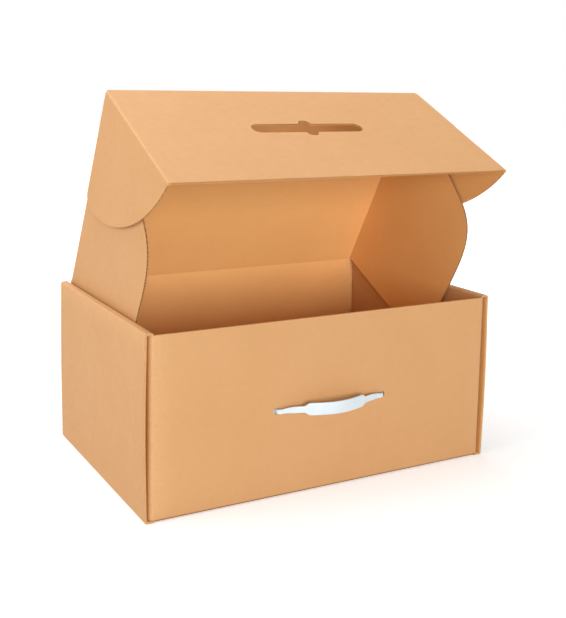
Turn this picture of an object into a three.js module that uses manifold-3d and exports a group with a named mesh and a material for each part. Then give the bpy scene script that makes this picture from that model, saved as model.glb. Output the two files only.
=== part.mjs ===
// A corrugated roll-end mailer box with a plastic carry strap, standing open.
// One folded sheet of single-wall board makes the tray, the lid and the flaps.
// Millimetres, +X to the right, -Y to the front, +Z up, origin under the middle of the tray.

import * as THREE from "three";
import { mergeVertices } from "three/addons/utils/BufferGeometryUtils.js";
import Module from "manifold-3d";

const wasm = await Module();
wasm.setup();

// Driving dimensions of the board and the tray
const board = 2.5;
const trayWidth = 485;
const trayDepth = 308;
const trayHeight = 219;
const rimWidth = 10.8;
const foldInsideRadius = 0.5;
const wallDrop = 0.5;
const dustFlapLength = 130;
const dustFlapDrop = 6;

// Running clearances between the layers of board
const layerGap = 0.3;
const earPocketGap = 0.4;
const endPlyGap = 0.4;
const tuckGap = 0.5;
const floorGap = 3;

// Locking tabs of the inner side walls, and their slots in the floor
const tabLength = 62;
const tabSpacing = 150;
const tabCount = 2;
const tabRecess = 0.4;

// The lid and its flaps, as they stand open
const lidOpening = 60;
const frontFlapFold = 86;
const earSpread = 1.3;
const earReach = 155;
const earCorner = 14;
const sideFlapDepth = 209;
const sideFlapRearTaper = 10;
const sideFlapCorner = 32;
const creaseChamfer = 0.9;

// Steering points of the two lobed edges, as shares of a flap's reach and of its length
const earCurve = { foot: [0.53, 0.86], side: [0.97, 0.45] };
const earCurveEnd = 21;
const sideFlapCurve = { start: 0.5, side: [1, 0.71], front: [0.9, 0.76], end: [0.7, 0.805] };

// The hand slot in the front flap
const slotLength = 158;
const slotHeight = 21;
const slotFromCrease = 98;
const notchRadius = 8.5;

// The carry strap
const strapSpan = 151;
const strapThickness = 2.4;
const strapBow = 22;
const bowLead = 0.62;
const bowShoulder = 0.6;
const strapHeight = 107;
const neckHeight = 7.5;
const gripHeight = 15;
const gripLength = 78;
const shoulderLength = 7;
const holeWidth = 8;
const holeClearance = 0.75;
const holeCorner = 2.5;
const anchorWidth = 8;
const anchorHeight = 20;
const anchorThickness = 3;

const bendSteps = 4;
const beadSteps = 8;
const curveSteps = 20;

// Planes worked out from the sizes above
const half = board / 2;
const halfWidth = trayWidth / 2;
const halfDepth = trayDepth / 2;
const innerWallX = halfWidth - rimWidth;
const dustFlapX = innerWallX + 2 * board + layerGap;
const wallTop = trayHeight - board - wallDrop;
const hingeY = halfDepth - half;
const hingeZ = trayHeight - half;
const plateStart = half + layerGap;
const earOuterX = innerWallX - earPocketGap;
const earAxisX = earOuterX - half;
const lidHalfWidth = earOuterX - board - layerGap;
const lidLength = trayDepth - board - tuckGap - 2 * half;
const frontFlapLength = hingeZ - board - floorGap;
const bendOutsideRadius = foldInsideRadius + board;
const floorLap = 4 * bendOutsideRadius;
const dustFlapShoulder = 3 * board;
const cutThrough = 2 * trayWidth;

const alongX = new THREE.Matrix4().makeBasis(
  new THREE.Vector3(0, 1, 0),
  new THREE.Vector3(0, 0, 1),
  new THREE.Vector3(1, 0, 0),
);
const alongY = new THREE.Matrix4().makeBasis(
  new THREE.Vector3(1, 0, 0),
  new THREE.Vector3(0, 0, 1),
  new THREE.Vector3(0, -1, 0),
);
const alongZ = new THREE.Matrix4();

const kraft = { color: 0xdca468, roughness: 0.85, metalness: 0 };
const materials = {
  tray: new THREE.MeshStandardMaterial({ ...kraft, flatShading: true }),
  lid: new THREE.MeshStandardMaterial({ ...kraft, color: 0xd99b59, flatShading: true }),
  flap: new THREE.MeshStandardMaterial({ ...kraft, color: 0xe2ac74, flatShading: true }),
  ear: new THREE.MeshStandardMaterial({ ...kraft, color: 0xe6b27f, flatShading: true }),
  strap: new THREE.MeshStandardMaterial({ color: 0xe9f1f6, roughness: 0.35, metalness: 0 }),
};

function toSolid(geometry) {
  const bare = geometry.clone();
  bare.deleteAttribute("normal");
  bare.deleteAttribute("uv");
  const merged = mergeVertices(bare, 1e-4);
  const mesh = new wasm.Mesh({
    numProp: 3,
    vertProperties: new Float32Array(merged.attributes.position.array),
    triVerts: new Uint32Array(merged.index.array),
  });
  return new wasm.Manifold(mesh);
}

function toMesh(name, solid, material) {
  const { vertProperties, triVerts } = solid.getMesh();
  const geometry = new THREE.BufferGeometry();
  geometry.setAttribute("position", new THREE.BufferAttribute(vertProperties, 3));
  geometry.setIndex(new THREE.BufferAttribute(triVerts, 1));
  geometry.computeVertexNormals();
  const mesh = new THREE.Mesh(geometry, material);
  mesh.name = name;
  return mesh;
}

// A flat outline pushed equally to both sides of a middle plane
function extrude(shape, length, direction, middle = [0, 0, 0], steps = curveSteps) {
  const options = { depth: length, bevelEnabled: false, curveSegments: steps };
  const geometry = new THREE.ExtrudeGeometry(shape, options);
  geometry.translate(0, 0, -length / 2);
  geometry.applyMatrix4(direction);
  geometry.translate(...middle);
  return toSolid(geometry);
}

function block(low, high) {
  const size = high.map((value, axis) => value - low[axis]);
  const geometry = new THREE.BoxGeometry(...size);
  geometry.translate(...low.map((value, axis) => value + size[axis] / 2));
  return toSolid(geometry);
}

function joined(solids) {
  return solids.reduce((whole, piece) => whole.add(piece));
}

// The section of a board that follows a middle line and bends round at each corner
function boardSection(corners) {
  const line = corners.map(([x, y]) => new THREE.Vector2(x, y));
  const radius = foldInsideRadius + half;
  const left = [];
  const right = [];
  const offsetFrom = (point, heading, side) =>
    new THREE.Vector2(point.x - heading.y * half * side, point.y + heading.x * half * side);
  line.forEach((point, index) => {
    const before = index > 0 ? point.clone().sub(line[index - 1]).normalize() : null;
    const after = index < line.length - 1 ? line[index + 1].clone().sub(point).normalize() : null;
    if (!before || !after) {
      left.push(offsetFrom(point, before ?? after, 1));
      right.push(offsetFrom(point, before ?? after, -1));
      return;
    }
    const turn = Math.atan2(before.cross(after), before.dot(after));
    const setback = radius * Math.tan(Math.abs(turn) / 2);
    const start = point.clone().addScaledVector(before, -setback);
    const spin = Math.sign(turn);
    const centre = new THREE.Vector2(start.x - before.y * radius * spin, start.y + before.x * radius * spin);
    for (let step = 0; step <= bendSteps; step += 1) {
      const heading = before.clone().rotateAround(new THREE.Vector2(), (turn * step) / bendSteps);
      const middle = new THREE.Vector2(
        centre.x + heading.y * radius * spin,
        centre.y - heading.x * radius * spin,
      );
      left.push(offsetFrom(middle, heading, 1));
      right.push(offsetFrom(middle, heading, -1));
    }
  });
  return new THREE.Shape([...left, ...right.reverse()]);
}

// The edge view of a plate: it starts chamfered beside its crease and ends square or in a bead
function creasedEdge(start, end, beaded) {
  const shape = new THREE.Shape();
  shape.moveTo(-start, half - creaseChamfer);
  shape.lineTo(-start - creaseChamfer, half);
  shape.lineTo(-end, half);
  if (beaded) {
    shape.absarc(-end, 0, half, Math.PI / 2, (3 * Math.PI) / 2, false);
  } else {
    shape.lineTo(-end, -half);
  }
  shape.lineTo(-start - creaseChamfer, -half);
  shape.lineTo(-start, creaseChamfer - half);
  return shape;
}

// Floor, outer side walls, flat rims and inner side walls are one band of board rolled over at both ends
function makeSideRoll() {
  const rimZ = trayHeight - half;
  const outerX = halfWidth - half;
  const innerX = innerWallX + half;
  const band = boardSection([
    [-innerX, board + layerGap],
    [-innerX, rimZ],
    [-outerX, rimZ],
    [-outerX, half],
    [outerX, half],
    [outerX, rimZ],
    [innerX, rimZ],
    [innerX, board + layerGap],
  ]);
  let roll = extrude(band, trayDepth, alongY);
  const plyEnd = halfDepth - board - endPlyGap;
  for (const side of [-1, 1]) {
    const [lowX, highX] = [innerWallX - layerGap, innerWallX + board + layerGap]
      .map((x) => x * side)
      .sort((a, b) => a - b);
    for (const end of [-1, 1]) {
      const [lowY, highY] = [plyEnd * end, (halfDepth + board) * end].sort((a, b) => a - b);
      roll = roll.subtract(block([lowX, lowY, board / 2], [highX, highY, trayHeight - bendOutsideRadius]));
    }
    for (let index = 0; index < tabCount; index += 1) {
      const middleY = (index - (tabCount - 1) / 2) * tabSpacing;
      const slotReach = tabLength / 2 + layerGap;
      const [tabLow, tabHigh] = [innerWallX, innerWallX + board].map((x) => x * side).sort((a, b) => a - b);
      const slotTop = board + layerGap / 2;
      roll = roll.subtract(block([lowX, middleY - slotReach, -board], [highX, middleY + slotReach, slotTop]));
      roll = roll.add(
        block([tabLow, middleY - tabLength / 2, tabRecess], [tabHigh, middleY + tabLength / 2, 2 * board]),
      );
    }
  }
  return roll;
}

// An end wall folds up from the floor, and its dust flaps fold back between the plies of the side walls
function makeEndWall(end) {
  const wallY = (halfDepth - half) * end;
  const foldHalfWidth = dustFlapX - bendOutsideRadius;
  const rise = boardSection([
    [(halfDepth - floorLap) * end, half],
    [wallY, half],
    [wallY, wallTop],
  ]);
  const flapX = dustFlapX - half;
  const flapEndY = (halfDepth - dustFlapLength) * end;
  const wrap = boardSection([
    [-flapX, flapEndY],
    [-flapX, wallY],
    [flapX, wallY],
    [flapX, flapEndY],
  ]);
  const wrapLow = board + layerGap;
  const wall = extrude(wrap, wallTop - wrapLow, alongZ, [0, 0, (wallTop + wrapLow) / 2]);
  const flapShoulderY = (halfDepth - dustFlapShoulder) * end;
  const cutY = [flapEndY - board * end, flapShoulderY].sort((a, b) => a - b);
  const lowered = block([-halfWidth, cutY[0], wallTop - dustFlapDrop], [halfWidth, cutY[1], trayHeight]);
  return wall.subtract(lowered).add(extrude(rise, 2 * foldHalfWidth, alongX));
}

function cornerCut(end) {
  const reach = dustFlapX - bendOutsideRadius;
  const [lowY, highY] = [halfDepth - bendOutsideRadius, halfDepth + board]
    .map((y) => y * end)
    .sort((a, b) => a - b);
  return block([-reach, lowY, -board], [reach, highY, bendOutsideRadius]);
}

// The upper part of the rear wall ends in the bead that the lid turns on
function makeRearCrest() {
  const bottomZ = wallTop - board;
  const crest = new THREE.Shape();
  crest.moveTo(hingeY - half, bottomZ);
  crest.lineTo(hingeY + half, bottomZ);
  crest.lineTo(hingeY + half, hingeZ);
  crest.absarc(hingeY, hingeZ, half, 0, Math.PI, false);
  return extrude(crest, 2 * lidHalfWidth, alongX, [0, 0, 0], beadSteps);
}

function roundedRectangle(width, height, corner) {
  const x = width / 2;
  const y = height / 2;
  const shape = new THREE.Shape();
  shape.moveTo(-x + corner, -y);
  shape.lineTo(x - corner, -y);
  shape.absarc(x - corner, -y + corner, corner, -Math.PI / 2, 0, false);
  shape.lineTo(x, y - corner);
  shape.absarc(x - corner, y - corner, corner, 0, Math.PI / 2, false);
  shape.lineTo(-x + corner, y);
  shape.absarc(-x + corner, y - corner, corner, Math.PI / 2, Math.PI, false);
  shape.lineTo(-x, -y + corner);
  shape.absarc(-x + corner, -y + corner, corner, Math.PI, (3 * Math.PI) / 2, false);
  return shape;
}

function makeStrapHoles() {
  const holeHeight = neckHeight + 2 * holeClearance;
  const hole = roundedRectangle(holeWidth, holeHeight, holeCorner);
  const holeX = strapSpan / 2;
  const holes = [-holeX, holeX].map((x) =>
    extrude(hole, 2 * bendOutsideRadius, alongY, [x, -halfDepth, strapHeight], bendSteps),
  );
  return joined(holes);
}

function makeTray() {
  const floorAndSides = makeSideRoll().subtract(cornerCut(-1)).subtract(cornerCut(1));
  return joined([floorAndSides, makeEndWall(-1), makeEndWall(1), makeRearCrest()]).subtract(makeStrapHoles());
}

// The lid lies between the rims when shut, and its side edges are rounded over for the side flaps
function makeLid() {
  const cross = new THREE.Shape();
  const turnX = lidHalfWidth - board;
  cross.moveTo(-lidHalfWidth, -half);
  cross.lineTo(lidHalfWidth, -half);
  cross.absarc(turnX, -half, board, 0, Math.PI / 2, false);
  cross.lineTo(-turnX, half);
  cross.absarc(-turnX, -half, board, Math.PI / 2, Math.PI, false);
  const middle = [0, -lidLength / 2, 0];
  const crosswise = extrude(cross, cutThrough, alongY, middle, beadSteps);
  const edge = creasedEdge(plateStart, lidLength, true);
  return crosswise.intersect(extrude(edge, cutThrough, alongX, [0, 0, 0], beadSteps));
}

function handSlot() {
  const radius = slotHeight / 2;
  const endX = slotLength / 2 - radius;
  const slot = new THREE.Shape();
  slot.moveTo(-endX, -radius);
  slot.lineTo(-notchRadius, -radius);
  slot.absarc(0, -radius, notchRadius, Math.PI, 2 * Math.PI, false);
  slot.lineTo(endX, -radius);
  slot.absarc(endX, 0, radius, -Math.PI / 2, Math.PI / 2, false);
  slot.lineTo(notchRadius, radius);
  slot.absarc(0, radius, notchRadius, 0, Math.PI, false);
  slot.lineTo(-endX, radius);
  slot.absarc(-endX, 0, radius, Math.PI / 2, (3 * Math.PI) / 2, false);
  return extrude(slot, cutThrough, alongZ, [0, -slotFromCrease, 0], beadSteps);
}

function makeFrontFlap() {
  const cross = new THREE.Shape();
  cross.moveTo(-earAxisX, -half);
  cross.lineTo(earAxisX, -half);
  cross.absarc(earAxisX, 0, half, -Math.PI / 2, Math.PI / 2, false);
  cross.lineTo(-earAxisX, half);
  cross.absarc(-earAxisX, 0, half, Math.PI / 2, (3 * Math.PI) / 2, false);
  const crosswise = extrude(cross, cutThrough, alongY, [0, -frontFlapLength / 2, 0], beadSteps);
  const edge = creasedEdge(plateStart, frontFlapLength, false);
  return crosswise.intersect(extrude(edge, cutThrough, alongX)).subtract(handSlot());
}

// An ear, laid out flat beside the front flap: x away from its crease, y down the flap
function makeEar(side) {
  const steer = ([across, down]) => [across * earReach, -down * frontFlapLength];
  const lobe = new THREE.Shape();
  lobe.moveTo(0, -half);
  lobe.lineTo(0, -frontFlapLength);
  lobe.lineTo(plateStart, -frontFlapLength);
  lobe.bezierCurveTo(...steer(earCurve.foot), ...steer(earCurve.side), earReach, -earCurveEnd);
  lobe.lineTo(earReach, -half - earCorner);
  lobe.absarc(earReach - earCorner, -half - earCorner, earCorner, 0, Math.PI / 2, false);
  const flat = extrude(lobe, board, alongZ);
  const start = new THREE.Shape();
  start.moveTo(plateStart, creaseChamfer - half);
  start.lineTo(plateStart + creaseChamfer, -half);
  start.lineTo(earReach + board, -half);
  start.lineTo(earReach + board, half);
  start.lineTo(plateStart + creaseChamfer, half);
  start.lineTo(plateStart, half - creaseChamfer);
  const edge = extrude(start, cutThrough, alongY);
  const ear = flat.intersect(edge);
  return side > 0 ? ear : ear.mirror([1, 0, 0]);
}

// A side flap, laid out flat beside the lid: x away from its crease, y down the lid
function makeSideFlap(side) {
  const rearY = -(plateStart + 2 * layerGap);
  const frontY = -(lidLength - 2 * board);
  const steer = ([across, down]) => [across * sideFlapDepth, -down * lidLength];
  const lobe = new THREE.Shape();
  lobe.moveTo(layerGap, rearY);
  lobe.lineTo(sideFlapDepth - sideFlapCorner, rearY - sideFlapRearTaper);
  lobe.quadraticCurveTo(
    sideFlapDepth,
    rearY - sideFlapRearTaper,
    sideFlapDepth,
    rearY - sideFlapRearTaper - sideFlapCorner,
  );
  lobe.lineTo(sideFlapDepth, -sideFlapCurve.start * lidLength);
  lobe.bezierCurveTo(
    ...steer(sideFlapCurve.side),
    ...steer(sideFlapCurve.front),
    ...steer(sideFlapCurve.end),
  );
  lobe.lineTo(layerGap, frontY);
  const flap = extrude(lobe, board, alongZ, [0, 0, half]);
  return side > 0 ? flap : flap.mirror([1, 0, 0]);
}

// The strap: its bowed run seen from above, cut to the grip's outline seen from the front
function makeStrap() {
  const reach = strapSpan / 2;
  const insideY = board + endPlyGap;
  const bow = new THREE.CubicBezierCurve(
    new THREE.Vector2(reach, insideY),
    new THREE.Vector2(reach, -bowLead * strapBow),
    new THREE.Vector2(bowShoulder * reach, -strapBow),
    new THREE.Vector2(0, -strapBow),
  );
  const outer = [];
  const inner = [];
  for (let step = 0; step <= curveSteps; step += 1) {
    const point = bow.getPoint(step / curveSteps);
    const heading = bow.getTangent(step / curveSteps);
    const across = new THREE.Vector2(heading.y, -heading.x).multiplyScalar(strapThickness / 2);
    outer.push(point.clone().sub(across));
    inner.push(point.clone().add(across));
  }
  const mirrored = (points) => points.map((point) => new THREE.Vector2(-point.x, point.y)).reverse();
  const run = [...outer, ...mirrored(outer).slice(1)];
  const back = [...mirrored(inner).reverse(), ...inner.slice(0, -1).reverse()];
  const plan = new THREE.Shape([...run, ...back]);
  const gripX = gripLength / 2;
  const neckX = gripX + shoulderLength;
  const face = new THREE.Shape();
  face.moveTo(-trayWidth / 2, -neckHeight / 2);
  face.lineTo(-neckX, -neckHeight / 2);
  face.lineTo(-gripX, -gripHeight / 2);
  face.lineTo(gripX, -gripHeight / 2);
  face.lineTo(neckX, -neckHeight / 2);
  face.lineTo(trayWidth / 2, -neckHeight / 2);
  face.lineTo(trayWidth / 2, neckHeight / 2);
  face.lineTo(neckX, neckHeight / 2);
  face.lineTo(gripX, gripHeight / 2);
  face.lineTo(-gripX, gripHeight / 2);
  face.lineTo(-neckX, neckHeight / 2);
  face.lineTo(-trayWidth / 2, neckHeight / 2);
  const strap = extrude(plan, cutThrough, alongZ).intersect(extrude(face, cutThrough, alongY));
  const bar = roundedRectangle(anchorWidth, anchorHeight, anchorThickness / 2);
  const anchors = [-1, 1].map((side) =>
    extrude(bar, anchorThickness, alongY, [side * reach, insideY + anchorThickness / 2, 0], bendSteps),
  );
  return joined([strap, ...anchors]);
}

const radians = THREE.MathUtils.degToRad;
const box = new THREE.Group();
box.add(toMesh("tray", makeTray(), materials.tray));

const lidPivot = new THREE.Group();
lidPivot.position.set(0, hingeY, hingeZ);
lidPivot.rotation.x = radians(-lidOpening);
lidPivot.add(toMesh("lid_panel", makeLid(), materials.lid));
box.add(lidPivot);

const frontFlapPivot = new THREE.Group();
frontFlapPivot.position.set(0, -lidLength, 0);
frontFlapPivot.rotation.x = radians(frontFlapFold);
frontFlapPivot.add(toMesh("front_flap", makeFrontFlap(), materials.flap));
lidPivot.add(frontFlapPivot);

for (const [label, side] of [
  ["left", -1],
  ["right", 1],
]) {
  const ear = toMesh(`ear_${label}`, makeEar(side), materials.ear);
  ear.position.set(side * earAxisX, 0, 0);
  ear.rotation.y = side * radians(90 - earSpread);
  frontFlapPivot.add(ear);

  const sideFlap = toMesh(`side_flap_${label}`, makeSideFlap(side), materials.ear);
  sideFlap.position.set(side * (lidHalfWidth - board), 0, -half);
  sideFlap.rotation.y = side * radians(90);
  lidPivot.add(sideFlap);
}

const strap = toMesh("carry_handle", makeStrap(), materials.strap);
strap.position.set(0, -halfDepth, strapHeight);
box.add(strap);

export default box;
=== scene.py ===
# A corrugated mailer box with a carry strap, standing open: the board, its folds and its strap in detail.
# Metres, +X to the right, -Y to the front, +Z up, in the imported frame.

import math

import bpy
from mathutils import Matrix, Vector


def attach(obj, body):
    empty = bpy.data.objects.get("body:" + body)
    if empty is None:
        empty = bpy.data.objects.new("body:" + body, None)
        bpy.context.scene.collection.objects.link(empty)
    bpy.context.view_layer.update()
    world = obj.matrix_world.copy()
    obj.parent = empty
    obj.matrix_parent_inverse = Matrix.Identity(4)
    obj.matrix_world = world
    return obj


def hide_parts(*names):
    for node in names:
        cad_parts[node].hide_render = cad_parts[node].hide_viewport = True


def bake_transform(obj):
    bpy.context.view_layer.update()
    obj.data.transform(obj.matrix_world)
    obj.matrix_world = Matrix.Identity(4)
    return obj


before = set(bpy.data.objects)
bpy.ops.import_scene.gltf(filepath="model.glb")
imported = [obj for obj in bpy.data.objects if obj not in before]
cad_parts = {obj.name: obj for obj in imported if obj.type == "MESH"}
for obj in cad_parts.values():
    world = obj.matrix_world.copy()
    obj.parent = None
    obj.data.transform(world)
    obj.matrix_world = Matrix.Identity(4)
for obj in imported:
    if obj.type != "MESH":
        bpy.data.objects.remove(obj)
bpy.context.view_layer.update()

# The board: two liners glued to a fluted sheet
board = {
    "thickness": 0.0025,
    "liner": 0.0003,
    "medium": 0.00024,
    "glueGap": 0.00002,
    "flutePitch": 0.0044,
    "pointsPerFlute": 6,
    "foldRadius": 0.00175,
    "foldSteps": 5,
    "foldFade": 0.003,
    "crushedFlute": 0.25,
    "crushedEdge": 0.0012,
    "edgeInset": 0.0001,
    "creaseReach": 0.0025,
    "creaseSteps": 10,
    "creaseSmoothing": 30,
}
halfBoard = board["thickness"] / 2

# Vertices closer than this are one
sameVertex = 1e-6
sameCreaseVertex = 1e-8


# Objects and selection

def clearSelection():
    if bpy.context.object and bpy.context.object.mode != "OBJECT":
        bpy.ops.object.mode_set(mode="OBJECT")
    bpy.ops.object.select_all(action="DESELECT")


def pick(obj):
    clearSelection()
    obj.select_set(True)
    bpy.context.view_layer.objects.active = obj


def nameActive(name):
    obj = bpy.context.object
    obj.name = name
    obj.data.name = name
    return obj


def turnOut(obj, joinWithin=None):
    # Turns the faces outwards, after joining the vertices that fell together where a distance is given
    pick(obj)
    bpy.ops.object.mode_set(mode="EDIT")
    bpy.ops.mesh.select_all(action="SELECT")
    if joinWithin:
        bpy.ops.mesh.remove_doubles(threshold=joinWithin)
    bpy.ops.mesh.normals_make_consistent(inside=False)
    bpy.ops.object.mode_set(mode="OBJECT")
    return obj


def applyModifier(obj, kind, **settings):
    pick(obj)
    modifier = obj.modifiers.new(kind.lower(), kind)
    for key, value in settings.items():
        setattr(modifier, key, value)
    bpy.ops.object.modifier_apply(modifier=modifier.name)


def joinAll(name, objects):
    pick(objects[0])
    for obj in objects:
        obj.select_set(True)
    bpy.ops.object.join()
    return nameActive(name)


def putAt(obj, matrix):
    obj.data.transform(matrix)
    obj.data.update()
    return obj


def boolean(obj, cutter, operation):
    applyModifier(obj, "BOOLEAN", object=cutter, operation=operation, solver="EXACT")
    bpy.data.objects.remove(cutter, do_unlink=True)


def smooth(obj, degrees):
    pick(obj)
    bpy.ops.object.shade_smooth_by_angle(angle=math.radians(degrees))


def setUv(obj, place):
    for layer in list(obj.data.uv_layers):
        obj.data.uv_layers.remove(layer)
    layer = obj.data.uv_layers.new(name="flat")
    for loop in obj.data.loops:
        layer.data[loop.index].uv = place(obj.data.vertices[loop.vertex_index].co)


def setFold(obj, amount):
    layer = obj.data.attributes.get("fold") or obj.data.attributes.new("fold", "FLOAT", "POINT")
    for vertex in obj.data.vertices:
        layer.data[vertex.index].value = amount(vertex.co)


# Materials

# The shared marks of the paper: fibres by turn and stretch, clouds, and cracks along the folds
marks = {
    "strands": ((0.35, 0.11), (-0.5, 0.16), (1.3, 0.13)),
    "fibreDensity": 1500.0,
    "fleckRange": (0.62, 0.8),
    "cloudSize": 14.0,
    "cloudRange": (0.3, 0.7),
    "blotchFiner": 9.0,
    "blotchRoughness": 0.6,
    "crackScale": 260.0,
    "crackRange": (0.35, 0.65),
    "leastStretch": 0.35,
}


def newGroup(name, inputs, outputs):
    group = bpy.data.node_groups.new(name, "ShaderNodeTree")
    for label, kind, value in inputs:
        socket = group.interface.new_socket(name=label, in_out="INPUT", socket_type=kind)
        if value is not None:
            socket.default_value = value
    for label, kind in outputs:
        group.interface.new_socket(name=label, in_out="OUTPUT", socket_type=kind)
    start = group.nodes.new("NodeGroupInput")
    finish = group.nodes.new("NodeGroupOutput")
    return group, start, finish


def feed(tree, socket, source):
    # Another node's output is linked, and anything else is a fixed value
    if hasattr(source, "is_output"):
        tree.links.new(source, socket)
    else:
        socket.default_value = source


def addNode(tree, kind, sources=None, **settings):
    node = tree.nodes.new(kind)
    for key, value in settings.items():
        setattr(node, key, value)
    for label, source in (sources or {}).items():
        feed(tree, node.inputs[label], source)
    return node


def addMath(tree, operation, first, second=0.0, third=0.0):
    node = addNode(tree, "ShaderNodeMath", {0: first, 1: second, 2: third}, operation=operation)
    return node.outputs[0]


def addMix(tree, amount, first, second):
    return addNode(tree, "ShaderNodeMix", {0: amount, 6: first, 7: second}, data_type="RGBA").outputs[2]


def addRange(tree, value, source, least=0.0):
    # Takes what lies between the two ends of source to what lies between least and 1
    node = addNode(tree, "ShaderNodeMapRange",
                   {"Value": value, "From Min": source[0], "From Max": source[1], "To Min": least})
    return node.outputs[0]


def makeFibreGroup():
    # Short pulp fibres lying three ways across the sheet, read along the sheet's own flat layout
    group, start, finish = newGroup(
        "paperFibre",
        [("Flat", "NodeSocketVector", None), ("Density", "NodeSocketFloat", marks["fibreDensity"])],
        [("Fleck", "NodeSocketFloat"), ("Height", "NodeSocketFloat")],
    )
    strands = []
    for turn, stretch in marks["strands"]:
        mapping = addNode(group, "ShaderNodeMapping", {"Vector": start.outputs["Flat"]})
        mapping.inputs["Rotation"].default_value = (0, 0, turn)
        mapping.inputs["Scale"].default_value = (1, stretch, 1)
        noise = addNode(group, "ShaderNodeTexNoise",
                        {"Vector": mapping.outputs[0], "Scale": start.outputs["Density"], "Detail": 2.0})
        strands.append(noise.outputs["Fac"])
    tangle = addMath(group, "MAXIMUM", addMath(group, "MAXIMUM", strands[0], strands[1]), strands[2])
    group.links.new(addRange(group, tangle, marks["fleckRange"]), finish.inputs["Fleck"])
    group.links.new(tangle, finish.inputs["Height"])
    return group


def makeCloudGroup():
    # Soft uneven tone of the pulp, from hand-sized clouds to small blotches
    group, start, finish = newGroup(
        "pulpCloud",
        [("Place", "NodeSocketVector", None), ("Size", "NodeSocketFloat", marks["cloudSize"])],
        [("Broad", "NodeSocketFloat"), ("Blotch", "NodeSocketFloat")],
    )
    broad = addNode(group, "ShaderNodeTexNoise",
                    {"Vector": start.outputs["Place"], "Scale": start.outputs["Size"], "Detail": 2.0})
    finer = addMath(group, "MULTIPLY", start.outputs["Size"], marks["blotchFiner"])
    blotch = addNode(group, "ShaderNodeTexNoise", {"Vector": start.outputs["Place"], "Scale": finer,
                                                   "Detail": 4.0, "Roughness": marks["blotchRoughness"]})
    for noise, label in ((broad, "Broad"), (blotch, "Blotch")):
        level = addRange(group, noise.outputs["Fac"], marks["cloudRange"])
        group.links.new(level, finish.inputs[label])
    return group


def makeFluteGroup():
    # The faint washboard that the flutes press through the liner; its wave gives the bump, and the liner's
    # colour is darkened along it as painted shade
    group, start, finish = newGroup(
        "fluteLines",
        [("Flat", "NodeSocketVector", None), ("Pitch", "NodeSocketFloat", board["flutePitch"])],
        [("Wave", "NodeSocketFloat")],
    )
    across = addNode(group, "ShaderNodeSeparateXYZ", {0: start.outputs["Flat"]}).outputs["Y"]
    turns = addMath(group, "DIVIDE", across, start.outputs["Pitch"])
    wave = addMath(group, "SINE", addMath(group, "MULTIPLY", turns, 2 * math.pi))
    group.links.new(addMath(group, "MULTIPLY_ADD", wave, 0.5, 0.5), finish.inputs["Wave"])
    return group


def makeCreaseGroup():
    # Where the board is folded the liner is stretched, paler and a little broken
    group, start, finish = newGroup(
        "creaseMark",
        [("Fold", "NodeSocketFloat", 0.0), ("Place", "NodeSocketVector", None)],
        [("Stretch", "NodeSocketFloat"), ("Height", "NodeSocketFloat")],
    )
    noise = addNode(group, "ShaderNodeTexNoise",
                    {"Vector": start.outputs["Place"], "Scale": marks["crackScale"], "Detail": 3.0})
    broken = addRange(group, noise.outputs["Fac"], marks["crackRange"], marks["leastStretch"])
    stretch = addMath(group, "MULTIPLY", start.outputs["Fold"], broken)
    group.links.new(stretch, finish.inputs["Stretch"])
    group.links.new(addMath(group, "MULTIPLY", stretch, noise.outputs["Fac"]), finish.inputs["Height"])
    return group


groups = {
    "fibre": makeFibreGroup(),
    "cloud": makeCloudGroup(),
    "flute": makeFluteGroup(),
    "crease": makeCreaseGroup(),
}


def startMaterial(name):
    material = bpy.data.materials.new(name)
    material.use_nodes = True
    tree = material.node_tree
    return material, tree, tree.nodes["Principled BSDF"]


def placeGroup(tree, key, sources):
    return addNode(tree, "ShaderNodeGroup", sources, node_tree=groups[key])


def addBump(tree, shader, height, strength, distance):
    bump = addNode(tree, "ShaderNodeBump", {"Height": height, "Strength": strength, "Distance": distance})
    tree.links.new(bump.outputs["Normal"], shader.inputs["Normal"])


# The colours of the board and how far each mark on it shows
kraft = {
    "colour": (0.600, 0.318, 0.133, 1),
    "shade": (0.558, 0.286, 0.110, 1),
    "fleckColour": (0.44, 0.21, 0.072, 1),
    "stretched": (0.70, 0.41, 0.19, 1),
    # The inside colours are painted lighter than the outside's: painted bounce light inside the box, not a
    # different liner
    "insideLitColour": (0.890, 0.495, 0.180, 1),
    "insideLitShade": (0.840, 0.450, 0.156, 1),
    "rawColour": (0.66, 0.37, 0.155, 1),
    "rawShade": (0.50, 0.25, 0.092, 1),
    "mediumColour": (0.50, 0.25, 0.092, 1),
    "outsideCloud": 13.0,
    "insideCloud": 17.0,
    "blotchTone": 0.3,
    "broadTone": 0.4,
    "fleckTone": 0.16,
    "paintedFluteShade": 0.05,
    "foldTone": 0.35,
    "fibreHeight": 0.35,
    "fluteHeight": 0.3,
    "foldHeight": 1.5,
    "bump": 0.5,
    "bumpDepth": 0.00012,
    "roughness": 0.58,
    "blotchRoughness": 0.1,
    "specular": 0.45,
    "rawCloud": 90.0,
    "rawBump": 0.6,
    "rawBumpDepth": 0.0001,
    "rawRoughness": 0.84,
    "rawRoughnessSpread": 0.08,
    "rawSpecular": 0.2,
}


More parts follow.
